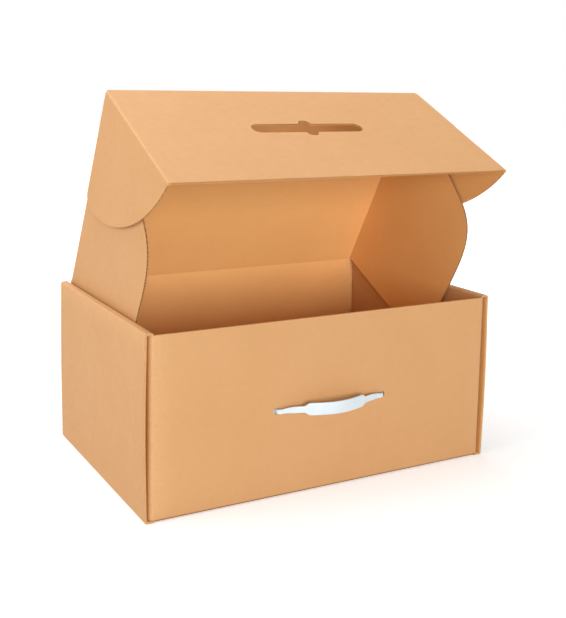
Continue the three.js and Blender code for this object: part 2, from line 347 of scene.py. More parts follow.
def makeLinerMaterial(name, colour, shade, cloudSize):
    material, tree, shader = startMaterial(name)
    flat = addNode(tree, "ShaderNodeUVMap", uv_map="flat").outputs["UV"]
    place = addNode(tree, "ShaderNodeTexCoord").outputs["Object"]
    foldAmount = addNode(tree, "ShaderNodeAttribute", attribute_name="fold").outputs["Fac"]
    cloud = placeGroup(tree, "cloud", {"Place": place, "Size": cloudSize})
    fibre = placeGroup(tree, "fibre", {"Flat": flat})
    flute = placeGroup(tree, "flute", {"Flat": flat})
    crease = placeGroup(tree, "crease", {"Fold": foldAmount, "Place": place})
    broad = addMath(tree, "MULTIPLY", cloud.outputs["Broad"], kraft["broadTone"])
    tone = addMath(tree, "MULTIPLY_ADD", cloud.outputs["Blotch"], kraft["blotchTone"], broad)
    base = addMix(tree, tone, colour, shade)
    # Fibre flecks and pale folds are the board's own colour; the darkening along the flute wave is painted
    # shade of the washboard
    for output, share, tint in (
            (fibre.outputs["Fleck"], kraft["fleckTone"], kraft["fleckColour"]),
            (flute.outputs["Wave"], kraft["paintedFluteShade"], shade),
            (crease.outputs["Stretch"], kraft["foldTone"], kraft["stretched"])):
        base = addMix(tree, addMath(tree, "MULTIPLY", output, share), base, tint)
    tree.links.new(base, shader.inputs["Base Color"])
    uneven = kraft["blotchRoughness"]
    rough = addMath(tree, "MULTIPLY_ADD", cloud.outputs["Blotch"], uneven, kraft["roughness"])
    tree.links.new(rough, shader.inputs["Roughness"])
    height = addMath(tree, "MULTIPLY", crease.outputs["Height"], kraft["foldHeight"])
    height = addMath(tree, "MULTIPLY_ADD", flute.outputs["Wave"], kraft["fluteHeight"], height)
    height = addMath(tree, "MULTIPLY_ADD", fibre.outputs["Height"], kraft["fibreHeight"], height)
    addBump(tree, shader, height, kraft["bump"], kraft["bumpDepth"])
    shader.inputs["Specular IOR Level"].default_value = kraft["specular"]
    return material


def makeRawMaterial(name, colour, shade):
    # Cut edges and the fluted sheet: coarser and matt
    material, tree, shader = startMaterial(name)
    place = addNode(tree, "ShaderNodeTexCoord").outputs["Object"]
    cloud = placeGroup(tree, "cloud", {"Place": place, "Size": kraft["rawCloud"]})
    base = addMix(tree, cloud.outputs["Blotch"], colour, shade)
    tree.links.new(base, shader.inputs["Base Color"])
    addBump(tree, shader, cloud.outputs["Blotch"], kraft["rawBump"], kraft["rawBumpDepth"])
    uneven = kraft["rawRoughnessSpread"]
    rough = addMath(tree, "MULTIPLY_ADD", cloud.outputs["Broad"], uneven, kraft["rawRoughness"])
    tree.links.new(rough, shader.inputs["Roughness"])
    shader.inputs["Specular IOR Level"].default_value = kraft["rawSpecular"]
    return material


boardMaterials = [
    makeLinerMaterial("kraftOutside", kraft["colour"], kraft["shade"], kraft["outsideCloud"]),
    # The inside liner's material carries painted bounce light in its lighter colours
    makeLinerMaterial("kraftInsideLit", kraft["insideLitColour"], kraft["insideLitShade"], kraft["insideCloud"]),
    makeRawMaterial("rawEdge", kraft["rawColour"], kraft["rawShade"]),
    makeRawMaterial("flutedPaper", kraft["mediumColour"], kraft["rawShade"]),
]
outsideSlot, insideSlot, rawSlot, flutedSlot = range(4)


def giveBoardMaterials(obj, index):
    obj.data.materials.clear()
    for material in boardMaterials:
        obj.data.materials.append(material)
    for polygon in obj.data.polygons:
        polygon.material_index = index


print("materials ready")


# Folded board: a grid laid along a line that bends, at one depth in the board's thickness

def foldedPath(corners, steps, radius):
    # steps gives the longest piece of each straight run between two folds
    line = [Vector(corner) for corner in corners]
    samples = []

    def addSample(point, heading, folded):
        length = 0.0
        if samples:
            last = samples[-1]
            length = last["length"] + (point - last["point"]).length
            if length - last["length"] < 1e-9:
                return
        normal = Vector((-heading.y, heading.x))
        samples.append({"point": point, "normal": normal, "length": length, "fold": folded})

    def addRun(first, last, step):
        heading = (last - first).normalized()
        count = max(1, math.ceil((last - first).length / step))
        for index in range(count + 1):
            addSample(first.lerp(last, index / count), heading, 0.0)

    cursor = line[0]
    for index in range(1, len(line) - 1):
        before = (line[index] - line[index - 1]).normalized()
        after = (line[index + 1] - line[index]).normalized()
        turn = math.atan2(before.x * after.y - before.y * after.x, before.dot(after))
        setback = radius * math.tan(abs(turn) / 2)
        start = line[index] - before * setback
        addRun(cursor, start, steps[index - 1])
        spin = math.copysign(1, turn)
        centre = start + Vector((-before.y, before.x)) * radius * spin
        for part in range(1, board["foldSteps"] + 1):
            angle = turn * part / board["foldSteps"]
            heading = Vector((before.x * math.cos(angle) - before.y * math.sin(angle),
                              before.x * math.sin(angle) + before.y * math.cos(angle)))
            point = centre + Vector((heading.y, -heading.x)) * radius * spin
            addSample(point, heading, 1.0)
        cursor = line[index] + after * setback
    addRun(cursor, line[-1], steps[-1])
    foldLengths = [sample["length"] for sample in samples if sample["fold"] == 1.0]
    for sample in samples:
        nearest = min((abs(sample["length"] - length) for length in foldLengths), default=1.0)
        sample["fold"] = max(0.0, 1.0 - nearest / board["foldFade"])
    return samples


def layGrid(name, samples, depthAt, spans, place, thickness, slot, warp=None):
    clearSelection()
    columns, rows = len(samples) - 1, len(spans) - 1
    bpy.ops.mesh.primitive_grid_add(x_subdivisions=columns, y_subdivisions=rows, size=1)
    obj = nameActive(name)
    mesh = obj.data
    mesh.uv_layers.active.name = "flat"
    fold = mesh.attributes.new("fold", "FLOAT", "POINT")
    layout = []
    for vertex in mesh.vertices:
        sample = samples[round((vertex.co.x + 0.5) * columns)]
        span = spans[round((vertex.co.y + 0.5) * rows)]
        point = sample["point"] + sample["normal"] * depthAt(sample, span)
        position = Vector(place(point.x, point.y, span))
        if warp:
            position += Vector(warp(position))
        vertex.co = position
        layout.append((sample["length"], span))
        fold.data[vertex.index].value = sample["fold"]
    for loop in mesh.loops:
        mesh.uv_layers["flat"].data[loop.index].uv = layout[loop.vertex_index]
    giveBoardMaterials(obj, slot)
    rimOffset = 0 if slot == flutedSlot else rawSlot - slot
    applyModifier(obj, "SOLIDIFY", thickness=thickness, offset=0, use_even_offset=True,
                  material_offset_rim=rimOffset)
    return turnOut(obj)


def spread(low, high, cells):
    return [low + (high - low) * index / cells for index in range(cells + 1)]


def fluteSwing(position):
    swing = halfBoard - board["liner"] - board["medium"] / 2 - board["glueGap"]
    return swing * math.sin(2 * math.pi * position / board["flutePitch"])


def foldedBoard(name, corners, low, high, place, insideUp, steps=None, radius=None, warp=None, cells=1,
                crushed=0.0):
    # The flutes run along the line and round its folds, and the cut edges beside them are crushed flat.
    # insideUp tells which side of the line's heading is the inside.
    samples = foldedPath(corners, steps or [1.0] * (len(corners) - 1), radius or board["foldRadius"])
    spans = spread(low, high, cells)
    fluteSpans = spread(low + crushed, high - crushed,
                        round((high - low) / board["flutePitch"] * board["pointsPerFlute"]))
    linerDepth = (halfBoard - board["liner"] / 2) * (1 if insideUp else -1)

    def fluteDepth(sample, span):
        return fluteSwing(span) * (1 - (1 - board["crushedFlute"]) * sample["fold"])

    layers = [
        ("Outside", lambda sample, span: -linerDepth, spans, board["liner"], outsideSlot),
        ("Inside", lambda sample, span: linerDepth, spans, board["liner"], insideSlot),
        ("Flutes", fluteDepth, fluteSpans, board["medium"], flutedSlot),
    ]
    if crushed:
        inset = board["edgeInset"]
        pressed = board["thickness"] - 2 * (board["liner"] + board["glueGap"])
        for edge in ((low + inset, low + crushed - inset), (high - crushed + inset, high - inset)):
            layers.append(("Edge", lambda sample, span: 0.0, edge, pressed, rawSlot))
    parts = [
        layGrid(name + part, samples, depthAt, partSpans, place, thickness, slot, warp)
        for part, depthAt, partSpans, thickness, slot in layers
    ]
    return joinAll(name, parts)


# Flat board cut to an outline, with the flutes running along its local x

# The longest curves have this many pieces
outlineSteps = 36


def arcRun(centreX, centreY, radius, start, end, steps):
    return [
        (centreX + radius * math.cos(start + (end - start) * index / steps),
         centreY + radius * math.sin(start + (end - start) * index / steps))
        for index in range(steps + 1)
    ]


def curveRun(first, second, third, fourth, steps):
    points = []
    for index in range(steps + 1):
        t = index / steps
        a, b, c, d = (1 - t) ** 3, 3 * t * (1 - t) ** 2, 3 * t * t * (1 - t), t ** 3
        points.append((a * first[0] + b * second[0] + c * third[0] + d * fourth[0],
                       a * first[1] + b * second[1] + c * third[1] + d * fourth[1]))
    return points


def cutPlate(name, outlines, low, high, slot):
    clearSelection()
    bpy.ops.curve.primitive_bezier_circle_add()
    obj = nameActive(name)
    curve = obj.data
    curve.dimensions = "2D"
    curve.fill_mode = "BOTH"
    curve.extrude = (high - low) / 2
    curve.splines.clear()
    for outline in outlines:
        spline = curve.splines.new("POLY")
        spline.points.add(len(outline) - 1)
        for point, (x, y) in zip(spline.points, outline):
            point.co = (x, y, 0, 1)
        spline.use_cyclic_u = True
    pick(obj)
    bpy.ops.object.convert(target="MESH")
    obj = nameActive(name)
    putAt(obj, Matrix.Translation((0, 0, (high + low) / 2)))
    turnOut(obj, sameVertex)
    giveBoardMaterials(obj, slot)
    if slot != flutedSlot:
        for polygon in obj.data.polygons:
            if abs(polygon.normal.z) < 0.5:
                polygon.material_index = rawSlot
    return obj


def layFlutes(name, outlines, middle):
    across = [x for x, y in outlines[0]]
    along = [y for x, y in outlines[0]]
    margin = board["flutePitch"]
    low, high = min(along) - margin, max(along) + margin
    rows = round((high - low) / board["flutePitch"] * board["pointsPerFlute"])
    clearSelection()
    bpy.ops.mesh.primitive_grid_add(x_subdivisions=1, y_subdivisions=rows, size=1)
    obj = nameActive(name)
    for vertex in obj.data.vertices:
        x = min(across) - margin + (vertex.co.x + 0.5) * (max(across) - min(across) + 2 * margin)
        y = low + (vertex.co.y + 0.5) * (high - low)
        vertex.co = (x, y, middle + fluteSwing(y))
    applyModifier(obj, "SOLIDIFY", thickness=board["medium"], offset=0, use_even_offset=True)
    giveBoardMaterials(obj, flutedSlot)
    cutter = cutPlate(name + "Cutter", outlines, middle - halfBoard, middle + halfBoard, flutedSlot)
    boolean(obj, cutter, "INTERSECT")
    return obj


def flatBoard(name, outlines, middle, matrix):
    liner = board["liner"]
    parts = [
        cutPlate(name + "Outside", outlines, middle + halfBoard - liner, middle + halfBoard, outsideSlot),
        cutPlate(name + "Inside", outlines, middle - halfBoard, middle - halfBoard + liner, insideSlot),
        layFlutes(name + "Flutes", outlines, middle),
    ]
    obj = joinAll(name, parts)
    setUv(obj, lambda co: (co.x, co.y))
    setFold(obj, lambda co: 0.0)
    return putAt(obj, matrix)


# A crease: the crushed board between two panels, one closed strip that bends about the hinge line

def creaseStrip(name, normals, hinge, spanAxis, low, high, outward, inward, firstWay, secondWay):
    normalA, normalB = normals
    reach = board["creaseReach"]
    angle = normalA.angle(normalB)
    turnAxis = normalA.cross(normalB).normalized()
    section = [normalA * outward + firstWay * reach]
    for index in range(board["creaseSteps"] + 1):
        part = angle * index / board["creaseSteps"]
        section.append(Matrix.Rotation(part, 3, turnAxis) @ normalA * outward)
    section.append(normalB * outward + secondWay * reach)
    section.append(-normalB * inward + secondWay * reach)
    bisector = (normalA + normalB).normalized()
    corner = -bisector * inward / math.cos(angle / 2)
    spreadWay = (normalB - normalA).normalized()
    narrow = outward * math.sin(angle / 2)
    for part in (0.96, 0.7, 0.4, 0, -0.4, -0.7, -0.96):
        way = secondWay if part >= 0 else firstWay
        slide = abs(part) * narrow / max(1e-6, abs(way.dot(spreadWay)))
        section.append(corner + way * slide)
    section.append(-normalA * inward + firstWay * reach)
    clearSelection()
    bpy.ops.mesh.primitive_circle_add(vertices=len(section), radius=0.01, fill_type="NGON")
    obj = nameActive(name)
    for vertex, offset in zip(obj.data.vertices, section):
        vertex.co = hinge + offset + spanAxis * low
    pick(obj)
    bpy.ops.object.mode_set(mode="EDIT")
    bpy.ops.mesh.select_all(action="SELECT")
    bpy.ops.mesh.extrude_region_move(TRANSFORM_OT_translate={"value": spanAxis * (high - low)})
    bpy.ops.object.mode_set(mode="OBJECT")
    turnOut(obj, sameCreaseVertex)
    giveBoardMaterials(obj, outsideSlot)
    for polygon in obj.data.polygons:
        middle = polygon.center - hinge
        if abs(polygon.normal.dot(spanAxis)) > 0.5:
            polygon.material_index = rawSlot
        elif middle.dot(bisector) < 0 and polygon.normal.dot(bisector) < 0.1:
            polygon.material_index = insideSlot

    def flatPlace(co):
        offset = co - hinge
        across = max(offset.dot(firstWay), 0) - max(offset.dot(secondWay), 0)
        return (across, offset.dot(spanAxis))

    def foldAmount(co):
        away = max((co - hinge).dot(firstWay), (co - hinge).dot(secondWay))
        return max(0.0, 1.0 - away / reach)

    setUv(obj, flatPlace)
    setFold(obj, foldAmount)
    smooth(obj, board["creaseSmoothing"])
    return obj


# The left and right of a piece that comes in pairs
pairs = (("left", -1), ("right", 1))


# Tray: floor and side walls rolled from one band, and two end walls with dust flaps

tray = {
    "width": 0.485,
    "depth": 0.308,
    "height": 0.219,
    "rimWidth": 0.0108,
    "wallDrop": 0.0005,
    "layerGap": 0.0003,
    "dustFlapLength": 0.130,
    "dustFlapDrop": 0.006,
    "tabLength": 0.062,
    "tabCentres": (-0.075, 0.075),
    "tabEnd": 0.0004,
    "sideBow": 0.0017,
    "sideBowStart": 0.004,
    "sideBowEnds": 0.010,
    "sideBowPower": 1.2,
    "rearBowShare": 0.45,
    "endBow": 0.0003,
    "wallCells": 14,
    "wallStep": 0.024,
    "cornerRadius": 0.0048,
    "cornerFlat": 0.2312,
    "plyEnd": 0.1492,
    "smoothing": 32,
}
innerWallX = tray["width"] / 2 - tray["rimWidth"]
dustFlapX = innerWallX + 2 * board["thickness"] + tray["layerGap"]
wallTop = tray["height"] - board["thickness"] - tray["wallDrop"]
outerFold = board["foldRadius"] + halfBoard
hingeY = tray["depth"] / 2 - halfBoard
hingeZ = tray["height"] - halfBoard

# How far the cutting blocks reach past what they cut
cutting = {
    "pastEdge": 0.002,
    "aboveFold": 0.0005,
    "belowSlot": 0.001,
    "aboveSlot": 0.0001,
    "pastFlap": 0.003,
    "sideX": 0.25,
    "topZ": 0.23,
}

# The two holes in the front wall that the strap passes through
strapHole = {"x": 0.0755, "z": 0.107, "size": (0.008, 0.02, 0.0072), "corner": 0.0025, "cornerSteps": 5}


def block(name, low, high):
    clearSelection()
    size = [b - a for a, b in zip(low, high)]
    centre = [(a + b) / 2 for a, b in zip(low, high)]
    bpy.ops.mesh.primitive_cube_add(size=1, location=centre, scale=size)
    bpy.ops.object.transform_apply(location=True, rotation=True, scale=True)
    obj = nameActive(name)
    giveBoardMaterials(obj, rawSlot)
    return obj


def sideBow(position):
    # The outer plies belly out a little between the rim and the floor, most near the front
    if abs(position.x) < innerWallX + 2 * board["thickness"]:
        return (0, 0, 0)
    up = min(1, max(0, (position.z - tray["sideBowStart"]) / (tray["height"] - tray["sideBowEnds"])))
    share = tray["rearBowShare"]
    front = share + (1 - share) * (0.5 - position.y / tray["depth"])
    belly = math.sin(math.pi * up) ** tray["sideBowPower"] * front
    return (math.copysign(tray["sideBow"] * belly, position.x), 0, 0)


def endBow(position):
    # The end walls belly out very slightly, most in the middle
    if abs(position.y) < tray["depth"] / 2 - 2 * board["thickness"]:
        return (0, 0, 0)
    up = math.sin(math.pi * min(1, max(0, position.z / tray["height"])))
    across = math.cos(math.pi * position.x / tray["width"]) ** 2
    return (0, math.copysign(tray["endBow"] * up * across, position.y), 0)


def innerPly(side):
    # The low and high x of the rolled inner wall, with a little room on both sides
    slack = tray["layerGap"]
    return sorted(((innerWallX - slack) * side, (innerWallX + board["thickness"] + slack) * side))


def makeTraySides():
    rimZ = tray["height"] - halfBoard
    outerX = tray["width"] / 2 - halfBoard
    innerX = innerWallX + halfBoard
    wallFoot = board["thickness"] + tray["layerGap"]
    corners = [(-innerX, wallFoot), (-innerX, rimZ), (-outerX, rimZ), (-outerX, halfBoard),
               (outerX, halfBoard), (outerX, rimZ), (innerX, rimZ), (innerX, wallFoot)]
    halfDepth = tray["depth"] / 2
    step = tray["wallStep"]
    band = foldedBoard("traySides", corners, -halfDepth, halfDepth, lambda a, b, c: (a, c, b), True,
                       steps=[1, 1, step, 1, step, 1, 1], warp=sideBow, cells=tray["wallCells"],
                       crushed=board["crushedEdge"])
    cutters = []
    flat, past = tray["cornerFlat"], cutting["pastEdge"]
    for end in (-1, 1):
        lowY, highY = sorted(((halfDepth - outerFold) * end, (halfDepth + past) * end))
        cutters.append(block("endCut", (-flat, lowY, -past), (flat, highY, outerFold)))
        for side in (-1, 1):
            lowX, highX = innerPly(side)
            lowY, highY = sorted((tray["plyEnd"] * end, (halfDepth + past) * end))
            foot, top = outerFold + cutting["aboveFold"], tray["height"] - outerFold
            cutters.append(block("plyCut", (lowX, lowY, foot), (highX, highY, top)))
    for side in (-1, 1):
        lowX, highX = innerPly(side)
        for middle in tray["tabCentres"]:
            half = tray["tabLength"] / 2 + tray["layerGap"]
            cutters.append(block("tabSlot", (lowX, middle - half, -cutting["belowSlot"]),
                                 (highX, middle + half, board["thickness"] + cutting["aboveSlot"])))
    boolean(band, joinAll("sideCutters", cutters), "DIFFERENCE")
    tabs = []
    for side in (-1, 1):
        for middle in tray["tabCentres"]:
            low, high = middle - tray["tabLength"] / 2, middle + tray["tabLength"] / 2
            tabs.append(foldedBoard("wallTab", [(side * innerX, tray["tabEnd"]), (side * innerX, wallFoot)],
                                    low, high, lambda a, b, c: (a, c, b), side < 0))
    return joinAll("traySides", [band] + tabs)


def makeEndWall(name, end, top):
    wallY = (tray["depth"] / 2 - halfBoard) * end
    flapX = dustFlapX - halfBoard
    flapEnd = (tray["depth"] / 2 - tray["dustFlapLength"]) * end
    corners = [(-flapX, flapEnd), (-flapX, wallY), (flapX, wallY), (flapX, flapEnd)]
    foot = board["thickness"] + tray["layerGap"]
    step = tray["wallStep"]
    wall = foldedBoard(name, corners, foot, top, lambda a, b, c: (a, b, c), end < 0,
                       steps=[1, step, 1], radius=tray["cornerRadius"], warp=endBow, cells=tray["wallCells"],
                       crushed=board["crushedEdge"])
    shoulder = (tray["depth"] / 2 - 3 * board["thickness"]) * end
    lowY, highY = sorted((shoulder, flapEnd - cutting["pastFlap"] * end))
    lowered = block("flapLowering", (-cutting["sideX"], lowY, wallTop - tray["dustFlapDrop"]),
                    (cutting["sideX"], highY, cutting["topZ"]))
    boolean(wall, lowered, "DIFFERENCE")
    flat, past = tray["cornerFlat"], cutting["pastEdge"]
    footCut = block("footCut", (-flat, wallY - past, 0), (flat, wallY + past, outerFold))
    boolean(wall, footCut, "DIFFERENCE")
    inner = (tray["depth"] / 2 - outerFold) * end
    fold = foldedBoard(name + "Fold", [(inner, halfBoard), (wallY, halfBoard), (wallY, outerFold)],
                       -flat, flat, lambda a, b, c: (c, a, b), end > 0)
    return joinAll(name, [wall, fold])


def cutStrapHoles(wall):
    holes = []
    for side in (-1, 1):
        clearSelection()
        place = (side * strapHole["x"], -tray["depth"] / 2, strapHole["z"])
        bpy.ops.mesh.primitive_cube_add(size=1, location=place, scale=strapHole["size"])
        bpy.ops.object.transform_apply(location=True, rotation=True, scale=True)
        hole = nameActive("strapHole")
        applyModifier(hole, "BEVEL", width=strapHole["corner"], segments=strapHole["cornerSteps"],
                      limit_method="ANGLE")
        giveBoardMaterials(hole, rawSlot)
        holes.append(hole)
    boolean(wall, joinAll("strapHoles", holes), "DIFFERENCE")


traySides = makeTraySides()
trayFront = makeEndWall("trayFront", -1, wallTop)
cutStrapHoles(trayFront)
trayRear = makeEndWall("trayRear", 1, hingeZ - board["creaseReach"])
for piece in (traySides, trayFront, trayRear):
    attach(piece, "tray")
    smooth(piece, tray["smoothing"])
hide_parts("tray")
print("tray ready")


# Lid panel with its side flaps

lid = {"opening": 60, "halfWidth": 0.2285, "length": 0.3025}
sideFlap = {
    "depth": 0.209,
    "rearTaper": 0.010,
    "corner": 0.032,
    "start": 0.0021,
    "end": 0.2975,
    "lobe": ((1, 0.5), (1, 0.71), (0.9, 0.76), (0.7, 0.805)),
}
lidPlace = Matrix.Translation((0, hingeY, hingeZ)) @ Matrix.Rotation(math.radians(-lid["opening"]), 4, "X")


def sideFlapPlace(side):
    return (lidPlace @ Matrix.Translation((side * (lid["halfWidth"] - board["thickness"]), 0, -halfBoard))
            @ Matrix.Rotation(side * math.radians(90), 4, "Y"))


def rectangle(lowX, lowY, highX, highY):
    return [(lowX, lowY), (highX, lowY), (highX, highY), (lowX, highY)]


reach = board["creaseReach"]
lidEdgeX = lid["halfWidth"] - board["thickness"] - reach
lidPanel = flatBoard("lidPanel", [rectangle(-lidEdgeX, reach - lid["length"], lidEdgeX, -reach)], 0, lidPlace)
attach(lidPanel, "lid")
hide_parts("lid_panel")


def sideFlapOutline(side):
    depth, rear = sideFlap["depth"], -sideFlap["start"]
    taperY = rear - sideFlap["rearTaper"]
    corner = sideFlap["corner"]
    points = [(reach, rear)]
    points += curveRun((depth - corner, taperY), (depth - corner / 3, taperY),
                       (depth, taperY - corner * 2 / 3), (depth, taperY - corner), outlineSteps // 2)
    lobe = [(across * depth, -along * lid["length"]) for across, along in sideFlap["lobe"]]
    points += curveRun(*lobe, outlineSteps)
    points += [(reach, -sideFlap["end"])]
    return [(side * x, y) for x, y in points]


for label, side in pairs:
    flap = flatBoard(f"sideFlap_{label}", [sideFlapOutline(side)], halfBoard, sideFlapPlace(side))
    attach(flap, f"side_flap_{label}")
    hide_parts(f"side_flap_{label}")
print("lid ready")


# Front flap with its hand slot, and the ears folded back from its sides

frontFlap = {
    "fold": 86,
    "length": 0.21225,
    "slotDown": 0.098,
    "slotLength": 0.158,
    "slotHeight": 0.021,
    "notchRadius": 0.0085,
    "slotSteps": 18,
}
ear = {
    "spread": 1.3,
    "axisX": 0.23005,
    "reach": 0.155,
    "footGap": 0.0008,
    "curve": ((0.53, 0.86), (0.97, 0.45)),
    "curveEnd": 1.5,
    "corner": 0.014,
    "cornerSteps": 10,
}
flapPlace = (lidPlace @ Matrix.Translation((0, -lid["length"], 0))
             @ Matrix.Rotation(math.radians(frontFlap["fold"]), 4, "X"))


def earPlace(side):
    return (flapPlace @ Matrix.Translation((side * ear["axisX"], 0, 0))
            @ Matrix.Rotation(side * math.radians(90 - ear["spread"]), 4, "Y"))


def handSlot():
    radius = frontFlap["slotHeight"] / 2
    endX = frontFlap["slotLength"] / 2 - radius
    notch = frontFlap["notchRadius"]
    middle = -frontFlap["slotDown"]
    quarter = math.pi / 2
    steps = frontFlap["slotSteps"]
    points = arcRun(0, middle - radius, notch, math.pi, 2 * math.pi, steps)
    points += arcRun(endX, middle, radius, -quarter, quarter, steps)
    points += arcRun(0, middle + radius, notch, 0, math.pi, steps)
    points += arcRun(-endX, middle, radius, quarter, 3 * quarter, steps)
    return points


flapEdgeX = ear["axisX"] - reach
frontPanel = flatBoard(
    "frontFlap", [rectangle(-flapEdgeX, -frontFlap["length"], flapEdgeX, -reach), handSlot()], 0, flapPlace)
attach(frontPanel, "front_flap")
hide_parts("front_flap")


def earOutline(side):
    far, foot, corner = ear["reach"], frontFlap["length"], ear["corner"]
    middle = [(across * far, -along * foot) for across, along in ear["curve"]]
    start, end = (reach, -foot + ear["footGap"]), (far, -ear["curveEnd"] * corner)
    points = curveRun(start, *middle, end, outlineSteps)
    points += arcRun(far - corner, -halfBoard - corner, corner, 0, math.pi / 2, ear["cornerSteps"])
    points += [(reach, -halfBoard)]
    return [(side * x, y) for x, y in points]


for label, side in pairs:
    flap = flatBoard(f"ear_{label}", [earOutline(side)], 0, earPlace(side))
    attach(flap, f"ear_{label}")
    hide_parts(f"ear_{label}")
print("flaps ready")


# Creases across the joints

def wayOf(matrix, vector):
    return (matrix.to_3x3() @ Vector(vector)).normalized()


def bendCrease(strip):
    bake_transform(strip)


xWay = Vector((1, 0, 0))
lidUp, lidDown = wayOf(lidPlace, (0, 0, 1)), wayOf(lidPlace, (0, -1, 0))
flapUp, flapDown = wayOf(flapPlace, (0, 0, 1)), wayOf(flapPlace, (0, -1, 0))

hinge = Vector((0, hingeY, hingeZ))
strip = creaseStrip("rearCrease", (Vector((0, 1, 0)), lidUp), hinge, xWay, -lid["halfWidth"],
                    lid["halfWidth"], halfBoard, halfBoard, Vector((0, 0, -1)), lidDown)
bendCrease(strip)

hinge = flapPlace.translation.copy()
strip = creaseStrip("frontCrease", (lidUp, flapUp), hinge, xWay, -lid["halfWidth"], lid["halfWidth"],
                    halfBoard, halfBoard, -lidDown, flapDown)
bendCrease(strip)

for label, side in pairs:
    place = earPlace(side)
    hinge = place.translation.copy()
    earUp, earOut = wayOf(place, (0, 0, 1)), wayOf(place, (side, 0, 0))
    strip = creaseStrip(f"earCrease_{label}", (flapUp, earUp), hinge, flapDown, reach,
                        frontFlap["length"], halfBoard, halfBoard, Vector((-side, 0, 0)), earOut)
    bendCrease(strip)
    place = sideFlapPlace(side)
    hinge = place.translation.copy()
    sideUp, sideOut = wayOf(place, (0, 0, 1)), wayOf(place, (side, 0, 0))
    strip = creaseStrip(f"sideCrease_{label}", (lidUp, sideUp), hinge, lidDown, reach,
                        sideFlap["end"], board["thickness"], 0, Vector((-side, 0, 0)), sideOut)
    bendCrease(strip)
print("creases ready")


# Carry strap: a moulded bar that bows out of its two holes

strap = {
    "span": 0.151,
    "bow": 0.0215,
    "standOff": 0.0046,
    "turnIn": 0.070,
    "turn": ((0.0738, -0.0046), (0.0757, -0.0036)),
    "throughX": 0.0757,
    "tail": 0.0006,
    "bellSteps": 24,
    "turnSteps": 10,
    "lift": 0.0010,
    "liftFade": 0.012,
    "thickness": 0.0024,
    "holeNeck": 0.0056,
    "neck": 0.0080,
    "grip": 0.0152,
    "gripLength": 0.0755,
    "gripRows": 4,
    "shoulder": 0.0055,
    "taperStart": 0.056,
    "taperLength": 0.014,
    "edgeRadius": 0.0009,
    "edgeAngle": 50,
    "insideY": 0.0029,
    "anchor": (0.008, 0.003, 0.020),
    "anchorRadius": 0.0011,
    "roundSteps": 3,
    "smoothing": 35,
}
plastic = {
    "colour": (0.665, 0.735, 0.77, 1),
    "shade": (0.62, 0.70, 0.745, 1),
    "cloud": 60.0,
    "grain": 1800.0,
    "bump": 0.25,
    "bumpDepth": 0.00005,
    "roughness": 0.3,
    "roughnessSpread": 0.08,
}


def makeStrapMaterial():
    material, tree, shader = startMaterial("strapPlastic")
    place = addNode(tree, "ShaderNodeTexCoord").outputs["Object"]
    cloud = placeGroup(tree, "cloud", {"Place": place, "Size": plastic["cloud"]})
    base = addMix(tree, cloud.outputs["Broad"], plastic["colour"], plastic["shade"])
    tree.links.new(base, shader.inputs["Base Color"])
    grain = addNode(tree, "ShaderNodeTexNoise", {"Vector": place, "Scale": plastic["grain"], "Detail": 2.0})
    addBump(tree, shader, grain.outputs["Fac"], plastic["bump"], plastic["bumpDepth"])
    uneven = plastic["roughnessSpread"]
    rough = addMath(tree, "MULTIPLY_ADD", cloud.outputs["Blotch"], uneven, plastic["roughness"])
    tree.links.new(rough, shader.inputs["Roughness"])
    return material


def strapLine():
    # Held at both ends, so the free part bows out like a bell and turns in through the holes
    half = strap["span"] / 2
    free = []
    for index in range(strap["bellSteps"] + 1):
        x = strap["turnIn"] * index / strap["bellSteps"]
        bell = (1 + math.cos(math.pi * x / half)) / 2
        free.append((x, -strap["standOff"] - (strap["bow"] - strap["standOff"]) * bell))
    end = (strap["throughX"], strap["insideY"] + strap["tail"])
    turn = curveRun(free[-1], *strap["turn"], end, strap["turnSteps"])
    line = free + turn[1:]
    return [(-x, y) for x, y in reversed(line[1:])] + line


def strapTall(x):
    past = (abs(x) - strap["gripLength"] / 2) / strap["shoulder"]
    tall = strap["grip"] + (strap["neck"] - strap["grip"]) * min(1, max(0, past))
    taper = min(1, max(0, (abs(x) - strap["taperStart"]) / strap["taperLength"]))
    return tall + (strap["holeNeck"] - strap["neck"]) * taper


def makeStrap():
    half = strap["span"] / 2
    line = strapLine()
    columns, rows = len(line) - 1, strap["gripRows"]
    clearSelection()
    bpy.ops.mesh.primitive_grid_add(x_subdivisions=columns, y_subdivisions=rows, size=1)
    obj = nameActive("carryStrap")
    for vertex in obj.data.vertices:
        x, y = line[round((vertex.co.x + 0.5) * columns)]
        lift = strap["lift"] * min(1, max(0, (half - abs(x)) / strap["liftFade"]))
        vertex.co = (x, y - tray["depth"] / 2, strapHole["z"] + lift + vertex.co.y * strapTall(x))
    applyModifier(obj, "SOLIDIFY", thickness=strap["thickness"], offset=0, use_even_offset=True)
    applyModifier(obj, "BEVEL", width=strap["edgeRadius"], segments=strap["roundSteps"], limit_method="ANGLE",
                  angle_limit=math.radians(strap["edgeAngle"]))
    turnOut(obj, sameVertex)
    parts = [obj]
    for side in (-1, 1):
        clearSelection()
        place = (side * half, strap["insideY"] + strap["anchor"][1] / 2 - tray["depth"] / 2, strapHole["z"])
        bpy.ops.mesh.primitive_cube_add(size=1, location=place, scale=strap["anchor"])
        bpy.ops.object.transform_apply(location=True, rotation=True, scale=True)
        anchor = nameActive("strapAnchor")
        applyModifier(anchor, "BEVEL", width=strap["anchorRadius"], segments=strap["roundSteps"])
        parts.append(anchor)
    obj = joinAll("carryStrap", parts)
    obj.data.materials.clear()
    obj.data.materials.append(makeStrapMaterial())
    smooth(obj, strap["smoothing"])
    return obj


carryStrap = makeStrap()
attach(carryStrap, "carry_handle")
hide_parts("carry_handle")
print("strap ready")


# Floor, lamps and camera

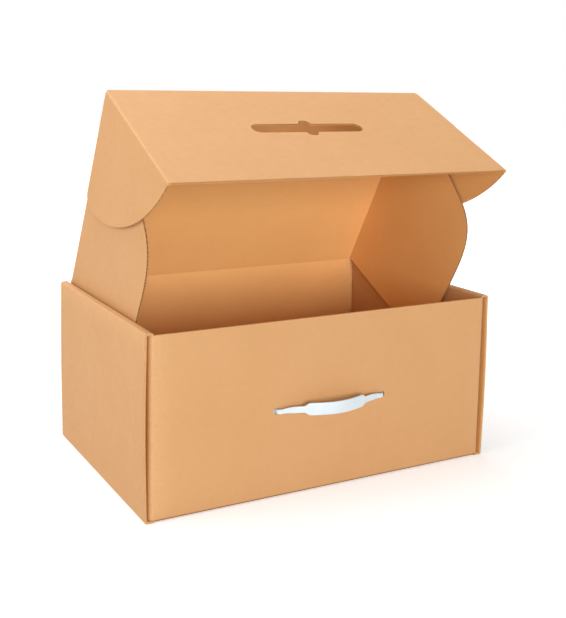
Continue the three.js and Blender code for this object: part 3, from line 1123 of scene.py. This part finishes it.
white = (1, 1, 1, 1)
studio = {
    "floorSize": 16,
    "cloudScale": 2.0,
    "cloudShare": 0.1,
    "floorRoughness": 0.9,
    "floorSpecular": 0.1,
    "floorColour": (0.80, 0.80, 0.80, 1),
    "floorShade": (0.78, 0.78, 0.78, 1),
    "floorGlow": 0.42,
    "farGlow": 1.0,
    "glowStart": 0.55,
    "glowEnd": 1.5,
    "worldStrength": 0.30,
}
lamps = {
    "leftLamp": {"place": (-1.6, -0.1, 0.95), "target": (0, 0, 0.35), "size": 1.0, "power": 14},
    "frontLamp": {"place": (-1.7, -7.25, 0.9), "target": (0, 0, 0.25), "size": 3.0, "power": 500},
    "topLamp": {"place": (-0.2, 0.5, 2.6), "target": (0, 0, 0.2), "size": 2.0, "power": 40},
}


def makeFloor():
    clearSelection()
    bpy.ops.mesh.primitive_plane_add(size=studio["floorSize"], location=(0, 0, 0))
    floor = nameActive("studioFloor")
    material, tree, shader = startMaterial("paleFloor")
    place = addNode(tree, "ShaderNodeTexCoord").outputs["Object"]
    noise = addNode(tree, "ShaderNodeTexNoise", {"Vector": place, "Scale": studio["cloudScale"]})
    tone = addMath(tree, "MULTIPLY", noise.outputs["Fac"], studio["cloudShare"])
    base = addMix(tree, tone, studio["floorColour"], studio["floorShade"])
    tree.links.new(base, shader.inputs["Base Color"])
    shader.inputs["Roughness"].default_value = studio["floorRoughness"]
    shader.inputs["Specular IOR Level"].default_value = studio["floorSpecular"]
    shader.inputs["Emission Color"].default_value = white
    # The camera sees the floor glow more with distance, so it ends in plain white
    away = addNode(tree, "ShaderNodeVectorMath", {0: place}, operation="LENGTH").outputs["Value"]
    glow = addNode(tree, "ShaderNodeMapRange",
                   {"Value": away, "From Min": studio["glowStart"], "From Max": studio["glowEnd"],
                    "To Min": studio["floorGlow"], "To Max": studio["farGlow"]},
                   interpolation_type="SMOOTHSTEP")
    seen = addNode(tree, "ShaderNodeLightPath").outputs["Is Camera Ray"]
    tree.links.new(addMath(tree, "MULTIPLY", seen, glow.outputs[0]), shader.inputs["Emission Strength"])
    floor.data.materials.append(material)


def makeLamp(name, place, target, size, power):
    lamp = bpy.data.lights.new(name, "AREA")
    lamp.size = size
    lamp.energy = power
    obj = bpy.data.objects.new(name, lamp)
    obj.location = place
    obj.rotation_euler = (Vector(target) - Vector(place)).to_track_quat("-Z", "Y").to_euler()
    bpy.context.scene.collection.objects.link(obj)


def makeWorld():
    # Plain white to the camera and in reflections, and softer as a light
    world = bpy.data.worlds.new("studio")
    bpy.context.scene.world = world
    world.use_nodes = True
    tree = world.node_tree
    tree.nodes.clear()
    path = addNode(tree, "ShaderNodeLightPath")
    seen = addMath(tree, "MAXIMUM", path.outputs["Is Camera Ray"], path.outputs["Is Glossy Ray"])
    seen = addMath(tree, "MAXIMUM", seen, path.outputs["Is Transmission Ray"])
    light = addNode(tree, "ShaderNodeBackground", {"Color": white, "Strength": studio["worldStrength"]})
    shown = addNode(tree, "ShaderNodeBackground", {"Color": white, "Strength": 1.0})
    mix = addNode(tree, "ShaderNodeMixShader", {0: seen, 1: light.outputs[0], 2: shown.outputs[0]})
    output = addNode(tree, "ShaderNodeOutputWorld")
    tree.links.new(mix.outputs[0], output.inputs["Surface"])


makeFloor()
makeWorld()
for name, lamp in lamps.items():
    makeLamp(name, lamp["place"], lamp["target"], lamp["size"], lamp["power"])

view = {
    "yaw": -28.07,
    "pitch": 7.51,
    "roll": 0.89,
    "place": (-0.62831, -1.12336, 0.49395),
    "lens": 56.91,
    "sensor": 36,
    "near": 0.01,
    "shift": (0.0485, -0.1602),
}


def makeCamera():
    yaw, pitch, roll = (math.radians(view[key]) for key in ("yaw", "pitch", "roll"))
    back = Vector((math.sin(yaw) * math.cos(pitch), -math.cos(yaw) * math.cos(pitch), math.sin(pitch)))
    right = Vector((math.cos(yaw), math.sin(yaw), 0))
    up = back.cross(right)
    turnedRight = math.cos(roll) * right + math.sin(roll) * up
    turnedUp = math.cos(roll) * up - math.sin(roll) * right
    matrix = Matrix((turnedRight, turnedUp, back)).transposed().to_4x4()
    matrix.translation = Vector(view["place"])
    data = bpy.data.cameras.new("camera")
    data.lens = view["lens"]
    data.sensor_width = view["sensor"]
    data.shift_x, data.shift_y = view["shift"]
    data.clip_start = view["near"]
    camera = bpy.data.objects.new("camera", data)
    camera.matrix_world = matrix
    bpy.context.scene.collection.objects.link(camera)
    bpy.context.scene.camera = camera


makeCamera()
bpy.context.scene.view_settings.view_transform = "Standard"
print("studio ready")
